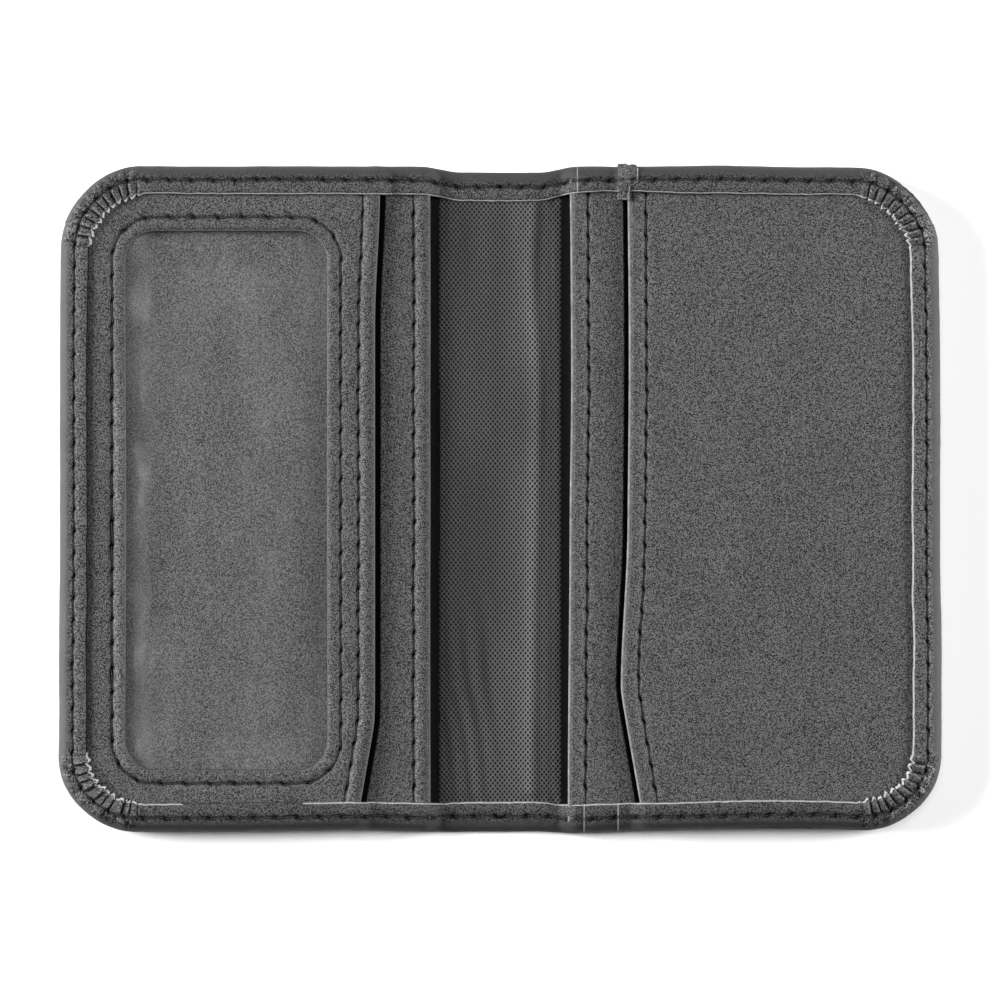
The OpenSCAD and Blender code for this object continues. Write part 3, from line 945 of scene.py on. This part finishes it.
def frame_ring(counts, inset):
    """A ring the same way round, at a distance inwards from the panel's own border."""
    x_out, y_out = PANEL_X - inset, PANEL_Y - inset
    corner = CORNER_R - (HALF_W - PANEL_X) - inset
    turn_x = WINDOW_X - (WINDOW_A - WINDOW_R) - 2
    long_side = np.linspace(-1, 1, counts[0], endpoint=False)
    short_side = np.linspace(0, 1, counts[1], endpoint=False)
    turn = np.linspace(0, math.pi / 2, counts[2], endpoint=False)
    half = np.linspace(0, 1, counts[2], endpoint=False)

    def mouth_x(y):
        return front_mouth(LEFT, y) + inset

    def round_corner(y_sign):
        """From the top edge or bottom edge to the mouth, by way of the sharp corner."""
        first = np.clip(half * 2, 0, 1)
        second = np.clip(half * 2 - 1, 0, 1)
        y = y_sign * (y_out + second * (ARC_Y - y_out))
        corner_x = mouth_x(y_sign * y_out)
        x = np.where(half < 0.5, turn_x + first * (corner_x - turn_x), mouth_x(y))
        return points_of(x, y)

    mouth_y = -ARC_Y * long_side
    return np.concatenate([
        points_of(x_out, ARC_Y * long_side),
        points_of(ARC_X + corner * np.cos(turn), ARC_Y + corner * np.sin(turn)),
        points_of(ARC_X + short_side * (turn_x - ARC_X), y_out),
        round_corner(1),
        points_of(mouth_x(mouth_y), mouth_y),
        [[mouth_x(-ARC_Y), -ARC_Y]],
        round_corner(-1)[1:][::-1],
        points_of(turn_x + short_side * (ARC_X - turn_x), -y_out),
        points_of(ARC_X + corner * np.sin(turn), -ARC_Y - corner * np.cos(turn)),
    ])


WINDOW_D = (0.0, 0.07, 0.16, 0.28, 0.5, 0.8, 1.1, 1.4, 1.6, 1.72, 1.81, 1.9, 1.99, 2.08, 2.2,
            2.4, 2.7, 3.2)
FRAME_D = (3.6, 3.2, 2.95, 2.75, 2.6, 2.48, 2.4, 2.34, 2.27, 2.2, 2.1, 1.95, 1.75, 1.5, 1.2,
           0.9, 0.6, 0.4, 0.24, 0.14, 0.06, 0.0)


def frame_surface(x, y, along):
    """Height and shade of the window pocket's panel."""
    from_window = window_distance(x, y)
    from_mouth = x - front_mouth(LEFT, y)
    relief, shade = mouth_strip(from_mouth, y)
    depth, seam_shade = seam_relief(from_window - WINDOW_SEAM, along, WINDOW_PITCH)
    lip = 0.14 * bell(from_window, 0.2)
    # The strip between the seam and the window stands up along the lower outer side, where it is
    # painted lighter: painted light
    strip = np.sin(math.pi * np.clip(from_window / WINDOW_SEAM, 0, 1))
    outer_side = ramp(x, WINDOW_X + WINDOW_A - 2, WINDOW_X + WINDOW_A) * (1 - ramp(y, 14, 24))
    z = relief - depth - lip + strip * (0.10 + 0.20 * outer_side)
    # Where stitches are torn along the outer side the seam sinks and is painted darker: painted shade
    torn = outer_side * bell(from_window - WINDOW_SEAM, 0.5) * ramp(noise(y, 3.5, 2.2, 111), 0.0, 0.6)
    z = z - 0.25 * torn + 0.06 * noise(x, y, 7, 112)
    return FRONT_TOP + z, shade * seam_shade * (1 - 0.6 * torn) * (1 + 0.5 * strip * outer_side)


def window_pocket():
    piece = Piece()
    counts = (235, 72, 26)
    inner = window_ring(counts, WINDOW_D[-1])
    outer = frame_ring(counts, FRAME_D[0])
    rings = [window_ring(counts, grow) for grow in WINDOW_D]
    rings += [inner + share * (outer - inner) for share in (0.2, 0.4, 0.6, 0.8)]
    rings += [frame_ring(counts, inset) for inset in FRAME_D]
    plan = np.stack(rings)
    seam = window_ring(counts, WINDOW_SEAM)
    steps = np.hypot(*(np.roll(seam, -1, 0) - seam).T)
    along = np.concatenate([[0], np.cumsum(steps)[:-1]])
    along = along * WINDOW_PITCH * round(steps.sum() / WINDOW_PITCH) / steps.sum()
    x, y = plan[..., 0], plan[..., 1]
    z, shade = frame_surface(x, y, along[None, :])
    z = z - tucked(x, y)
    upper = closed(piece.add_points(points_of(x, y, z), shade), 1)
    piece.add_quads(upper)
    picks = [0, 8, 17, 22, 30, len(rings) - 1]
    low = points_of(x[picks], y[picks], z[picks] - PANEL_T + 0.1)
    toward = seam - np.array([WINDOW_X, 0])
    toward = toward / np.linalg.norm(toward, axis=1)[:, None]
    low[0, :, :2] -= 0.2 * toward
    near_mouth = np.abs(x[-1] - front_mouth(LEFT, y[-1])) < 0.02
    low[-1, :, 0] -= np.where(near_mouth, 0.20, 0)
    # The lower face has a painted shade of 0.4
    lower = closed(piece.add_points(low, 0.4), 1)
    piece.add_quads(lower[::-1])
    shows = 0.05 + 0.14 * np.maximum(ramp(toward[:, 0], 0.1, 0.8), ramp(toward[:, 1], 0.5, 0.9))
    rim = points_of(x[0] - shows * toward[:, 0], y[0] - shows * toward[:, 1], z[0] - 0.12)
    rim = closed(piece.add_points(rim))
    piece.add_quads(np.stack([lower[0], rim, upper[0]]), 1)
    lip = points_of(x[-1] - np.where(near_mouth, 0.18, 0), y[-1], z[-1] - 0.16)
    lip = closed(piece.add_points(lip))
    piece.add_quads(np.stack([upper[-1], lip, lower[-1]]), 1)
    # Faces in deep painted shade, at the needle holes, take the near-black shadow leather
    piece.darken(2)
    materials = [POCKET_LEATHER, MOUTH_RAW, PAINTED_SHADOW_LEATHER]
    return piece.build("window_pocket_left", materials, True), seam, along


def film_sheet():
    """The clear film behind the window, slightly rippled, as a closed thin sheet."""
    piece = Piece()
    half_w, half_h = WINDOW_A + 2.4, WINDOW_B + 2.4
    x, y = np.meshgrid(
        np.linspace(WINDOW_X - half_w, WINDOW_X + half_w, 60),
        np.linspace(-half_h, half_h, 140), indexing="ij",
    )
    loose = ramp(-window_distance(x, y), 0, 6)
    ripple = 0.10 * noise(x, y, 9, 121) + 0.05 * noise(x * 1.6, y * 0.5, 4, 122)
    z = FILM_HIGH - 0.16 - 0.12 * loose + ripple * loose
    # The haze is thickened into a painted highlight band near the window's left side, and thickened a
    # little towards the bottom as smudges
    near_left = bell(x - (WINDOW_X + WINDOW_A - 2.2), 1.6)
    low_part = ramp(-y, 12, 34)
    shade = 1 + 4.4 * near_left * (0.7 + 0.5 * noise(x, y, 5, 123)) + 0.5 * low_part
    upper = piece.add_points(points_of(x, y, z), shade)
    lower = piece.add_points(points_of(x, y, z - SHEET_T), shade)
    piece.add_sheet(upper, lower)
    piece.add_quads(np.stack([lower[0], upper[0]]))
    return piece.build("window_film_left", [FILM], True)


# ---- Linings ---------------------------------------------------------------------------------

def lining_sway(y):
    """How far the folds of the nylon stray sideways along their length."""
    return 0.5 * noise(y, 0.5, 17, 131)


def slanting_creases(x, y):
    """A fan of shallow creases, left of the fold and towards the bottom."""
    lines = np.sin((x + 0.16 * y + 0.8 * noise(x, y, 9, 133)) * 2.3)
    return ramp(-y, 8, 30) * lines * bell(x + 4.0, 3.4)


def lining_height(x, y):
    """Height of the nylon, with x measured from the fold and negative on the left."""
    free = 1 - ramp(np.abs(y), 43.6, 45.4)
    open_part = free * (1 - ramp(np.abs(x), 8.8, 9.8))
    sway = lining_sway(y)
    folds = 0.34 * bell(x - 4.9 - sway, 1.25) + 0.10 * bell(x + 3.4 + sway, 2.2)
    folds = folds + 0.12 * bell(x - 8.3 - 0.3 * sway, 0.5) - 0.06 * bell(x - 7.4 - sway, 0.9)
    folds = folds + 0.09 * slanting_creases(x, y)
    gather = noise(x, y * 0.12, 1.5, 134) * ramp(np.abs(y), 34, 44)
    folds = folds + 0.08 * gather + 0.045 * noise(x, y * 0.3, 2.4, 135)
    climb = (FLOOR_TOP - SPINE_FLOOR) * ramp(np.abs(x), BACK_MOUTH - 0.35, BACK_MOUTH + 0.9)
    return SPINE_FLOOR + climb + open_part * (0.10 + folds)


def lining_painted_light_and_tone(x, y):
    """Painted highlights on the creases' crests and painted shade in the hollows beside them, with
    faint random streaks.
    """
    sway = lining_sway(y)
    tone = 1 + 0.45 * bell(x - 4.9 - sway, 0.6) - 0.35 * bell(x - 6.1 - sway, 0.5)
    tone = tone - 0.45 * bell(x - 7.9 - 0.6 * sway, 0.55) + 0.3 * bell(x - 8.6 - 0.3 * sway, 0.4)
    tone = tone + 0.28 * slanting_creases(x, y)
    return np.clip(tone + 0.22 * noise(x, y * 0.2, 2.6, 136), 0.2, 2.0)


def lining_half(side):
    """One half of the nylon, from the fold to the far edge under the pockets."""
    piece = Piece()
    near = np.linspace(0, 12, 61)
    far = np.linspace(12, HALF_W - LINING_INSET, 22)[1:]
    columns = np.concatenate([near, far])
    x, v = np.meshgrid(columns, np.linspace(-1, 1, 241), indexing="ij")
    round_y = rounded_half_height(x, CORNER_R - LINING_INSET)
    y = v * np.minimum(round_y, FOLD_HALF_H - LINING_INSET)
    signed = -x if side == LEFT else x
    z = lining_height(signed, y)
    # Painted shade: near-black beside the back pockets' mouths; the nylon is also darker left of the
    # fold, and its creases get painted light and shade
    shade = 1 - 0.97 * ramp(x, BACK_MOUTH - 2.0, BACK_MOUTH - 1.2)
    shade = shade * (0.66 + 0.36 * ramp(signed, -4, 4)) * lining_painted_light_and_tone(signed, y)
    upper = piece.add_points(points_of(x, y, z), shade)
    lower = piece.add_points(points_of(x, y, z - SHEET_T), shade)
    piece.add_sheet(upper, lower)
    piece.close_end(lower[0], upper[0])
    # Faces in deep painted shade beside the mouths take the near-black shadow leather
    piece.darken(1, 0.3)
    return piece.build(f"lining_{side}", [NYLON, PAINTED_SHADOW_LEATHER], side == LEFT)


# ---- Stitches --------------------------------------------------------------------------------

# Places along one stitch's length
STITCH_SHARE = np.linspace(0.03, 0.97, 12)


def add_stitch(piece, x, y, z):
    """One closed tube of thread along a short line."""
    points = points_of(x, y, z)
    ahead = np.gradient(points, axis=0)
    ahead /= np.linalg.norm(ahead, axis=1)[:, None]
    side_way = np.cross(ahead, [0, 0, 1.0])
    side_way /= np.linalg.norm(side_way, axis=1)[:, None]
    upward = np.cross(side_way, ahead)
    turn = np.linspace(0, 2 * math.pi, 8, endpoint=False)
    thick = THREAD_R * np.concatenate([[0.6], np.ones(len(points) - 2), [0.6]])
    ring = side_way[:, None] * np.cos(turn)[:, None] + upward[:, None] * np.sin(turn)[:, None]
    numbers = piece.add_points(points[:, None] + ring * thick[:, None, None])
    piece.add_quads(closed(numbers, 1))
    piece.add_face([int(n) for n in numbers[0]])
    piece.add_face([int(n) for n in numbers[-1]][::-1])


# How far a stitch has gone down into its holes: 1 at each end and 0 between
STITCH_ENDS = np.maximum(1 - ramp(STITCH_SHARE, 0.0, 0.2), ramp(STITCH_SHARE, 0.8, 1.0))


def edge_seam(side):
    """The stitches all round one half, on the inside and on the outside."""
    piece = Piece()
    for k in range(int(PATH_LEN / PITCH)):
        t = (k + STITCH_SHARE) * PITCH
        d = SEAM_D + STITCH_LEAN * (STITCH_SHARE - 0.5) + seam_wander(side, t)
        x, y = place_on_edge(side, t, d)
        top = hem_surface(side, t, d + 0.9)[0] - 0.08
        flat = hem_top(side, t)
        add_stitch(piece, x, y, np.minimum(top, flat) - 0.22 - 0.3 * STITCH_ENDS)
        add_stitch(piece, x, y, THREAD_R + 0.05 + 0.2 * STITCH_ENDS)
    return piece.build(f"edge_thread_{side}", [THREAD], side == LEFT)


def mouth_thread(name, side, mouth_of, surface_top):
    """The stitches beside one pocket's mouth, between the turned edges."""
    piece = Piece()
    reach = HALF_H - HEM_W - 0.1
    for k in range(math.ceil(-reach / PITCH), math.floor(reach / PITCH)):
        y = (k + STITCH_SHARE) * PITCH
        x = mouth_of(side, y) + MOUTH_SEAM + STITCH_LEAN * (STITCH_SHARE - 0.5) + mouth_wander(y)
        add_stitch(piece, x, y, surface_top - 0.20 - 0.3 * STITCH_ENDS)
    return piece.build(name, [THREAD], side == LEFT)


def window_thread(seam, along):
    """The stitches round the window, along a closed line and the distances of its points."""
    piece = Piece()
    total = along[-1] + (along[1] - along[0])
    line = closed(seam)
    places = np.concatenate([along, [total]])
    for k in range(round(total / WINDOW_PITCH)):
        at = (k + STITCH_SHARE) * WINDOW_PITCH
        x = np.interp(at, places, line[:, 0])
        y = np.interp(at, places, line[:, 1])
        out_x, out_y = np.gradient(y), -np.gradient(x)
        lean = STITCH_LEAN * (STITCH_SHARE - 0.5) / np.hypot(out_x, out_y)
        z = FRONT_TOP - 0.18 - 0.3 * STITCH_ENDS
        add_stitch(piece, x + lean * out_x, y + lean * out_y, z)
    return piece.build("window_thread_left", [THREAD], True)


def hem_flap():
    """The crumpled end of leather turned over the edge where the front pocket begins."""
    piece = Piece()
    t = np.linspace(FLAP_X - FLAP_W / 2, FLAP_X + FLAP_W / 2, 30)
    d = np.concatenate([np.linspace(4.95, 0.4, 46), np.array([0.28, 0.17, 0.08, 0.02])])
    tt, dd = np.meshgrid(t, d, indexing="ij")
    z = hem_surface(RIGHT, tt, dd)[0]
    z = np.where(dd > HEM_W - 0.3, FRONT_TOP + 0.5, z)
    lump = 0.16 * noise(tt, dd, 0.55, 141) + 0.12 * noise(tt, dd * 0.6, 0.9, 142)
    over = np.clip(0.30 + lump, 0.06, 0.6)
    across = (tt - t[0]) / (t[-1] - t[0])
    edge_x = 0.22 * noise(dd, 0.5, 0.9, 143) - 1.25 * across * ramp(dd, 2.2, 3.2)
    x, y = place_on_edge(RIGHT, tt, dd - over * (dd < 1.2) * (1.2 - dd) / 1.2)
    top_rows = points_of(x + edge_x, y, z + over)
    # Down the outside of the wallet from the last row
    wall = np.array([0.35, 0.8, 1.4, 2.0])
    side_x, side_y, side_z = (top_rows[:, -1:, axis] for axis in range(3))
    side_x = np.repeat(side_x, len(wall), 1)
    side_y = side_y + 0.1 * noise(side_x, wall[None, :], 0.6, 144)
    outer = np.concatenate([top_rows, points_of(side_x, side_y, side_z - wall[None, :])], 1)
    # The under face is drawn in, so that the cut edges show
    rolled = len(d) - 6
    under = outer.copy()
    under[:, :, 2] -= 0.3
    under[:, rolled:, 1] -= 0.3
    under[:, 0, 1] -= 0.26
    under[-1, :rolled, 0] += 0.20
    flat_x, flat_y = outer[..., 0], outer[..., 1]
    # Painted light and shade in patches over the crumpled leather
    crumple = noise(flat_x, flat_y, 0.5, 145) + noise(flat_x, flat_y, 0.9, 146)
    shade = np.clip(0.95 + 0.45 * crumple, 0.2, 1.8)
    from_seam = np.pad(dd, ((0, 0), (0, len(wall))), "edge") - SEAM_D
    shade = shade * seam_relief(from_seam, 1.0, PITCH)[1]
    upper = piece.add_points(outer, shade)
    # The under face has a painted shade of 0.6
    lower = piece.add_points(under, 0.6)
    piece.add_sheet(upper, lower, 1)
    piece.add_quads(np.stack([lower[0], upper[0]]), 1)
    return piece.build("hem_flap_right", [COVER_LEATHER, HEM_RAW])


# ---- Building and joining to the bodies ------------------------------------------------------

def across_fold(piece, side, slot_name, *nodes):
    """Bakes a piece's placement into its mesh, in place of CAD nodes of both its leaf and the spine.
    """
    if side == LEFT:
        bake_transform(piece)
    else:
        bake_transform(piece)
    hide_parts(*nodes)


def on_leaf(piece, side, slot_name, *nodes):
    """Fixes a piece to one leaf, in place of any CAD nodes named."""
    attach(piece, f"{side}_leaf")
    if nodes:
        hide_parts(*nodes)


for side in (LEFT, RIGHT):
    across_fold(cover_half(side), side, "cover_leather", f"{side}_cover", "spine_cover")
    lining = lining_half(side)
    across_fold(lining, side, "nylon_lining", f"{side}_lining", "spine_lining")

    across_fold(edge_seam(side), side, "thread", f"{side}_edge_stitches", "spine_stitches")
    back = panel(f"back_pocket_{side}", side, back_mouth, back_surface(side), dip_start)
    on_leaf(back, side, "pocket_leather", f"{side}_back_pocket")
    for layer, mouth_of, top in (("back", back_mouth, BACK_TOP), ("front", front_mouth, FRONT_TOP)):
        thread = mouth_thread(f"{layer}_mouth_thread_{side}", side, mouth_of, top)
        on_leaf(thread, side, "thread", f"{side}_{layer}_mouth_stitches")

front = panel("front_pocket_right", RIGHT, front_mouth, right_front_surface)
on_leaf(front, RIGHT, "pocket_leather", "right_front_pocket")
window_panel, window_seam_line, window_along = window_pocket()
on_leaf(window_panel, LEFT, "pocket_leather", "left_front_pocket")
on_leaf(window_thread(window_seam_line, window_along), LEFT, "thread", "window_stitches")
on_leaf(film_sheet(), LEFT, "window_film", "window_film")
on_leaf(hem_flap(), RIGHT, "cover_leather")

carried_over = {
    "left_board": BOARD,
    "right_board": BOARD,
    "left_back_pocket_lining": NYLON,
    "right_back_pocket_lining": NYLON,
    "right_front_pocket_lining": NYLON,
}
for node_name, material in carried_over.items():
    for material_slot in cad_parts[node_name].material_slots:
        material_slot.material = material


# ---- Floor, lights and camera ----------------------------------------------------------------

def make_floor():
    """A pale plain floor, six metres wide."""
    mesh = bpy.data.meshes.new("floor")
    corners = [(3 * x, 3 * y, 0) for x, y in ((-1, -1), (1, -1), (1, 1), (-1, 1))]
    mesh.from_pydata(corners, [], [(0, 1, 2, 3)])
    material, tree, shader = new_material("pale_floor")
    tone = map_range(tree, object_noise(tree, 3, 2), 0.3, 0.7, 0.95, 0.97)
    tree.links.new(grey_colour(tree, tone), shader.inputs["Base Color"])
    shader.inputs["Roughness"].default_value = 0.8
    mesh.materials.append(material)
    floor = bpy.data.objects.new("floor", mesh)
    bpy.context.collection.objects.link(floor)


def add_light(name, place, size, power):
    """A soft box that faces the wallet."""
    data = bpy.data.lights.new(name, "AREA")
    data.shape = "RECTANGLE"
    data.size, data.size_y = size
    data.energy = power
    light = bpy.data.objects.new(name, data)
    light.location = place
    light.rotation_euler = (-Vector(place)).to_track_quat("-Z", "Y").to_euler()
    bpy.context.collection.objects.link(light)


make_floor()
add_light("left_box", (-1.0, 0.2, 0.46), (0.5, 0.45), 29.0)
add_light("right_box", (1.0, 0.2, 0.46), (0.5, 0.45), 18.0)
add_light("overhead", (0.0, 0.3, 1.3), (0.5, 0.4), 4.5)

world = bpy.data.worlds.new("studio")
bpy.context.scene.world = world
world.use_nodes = True
background = world.node_tree.nodes["Background"].inputs
background["Color"].default_value = (1, 1, 1, 1)
background["Strength"].default_value = 0.04

LENS = 180.0
SENSOR = 36.0
FRAME_WIDTH = 0.150
CAMERA_Y = 0.000075
camera_data = bpy.data.cameras.new("camera")
camera_data.lens = LENS
camera_data.sensor_width = SENSOR
camera_data.clip_start = 0.05
camera = bpy.data.objects.new("camera", camera_data)
camera.location = (0, CAMERA_Y, FRAME_WIDTH * LENS / SENSOR + LEAF_TOP * MM / 2)
bpy.context.collection.objects.link(camera)
bpy.context.scene.camera = camera
bpy.context.scene.view_settings.view_transform = "Standard"
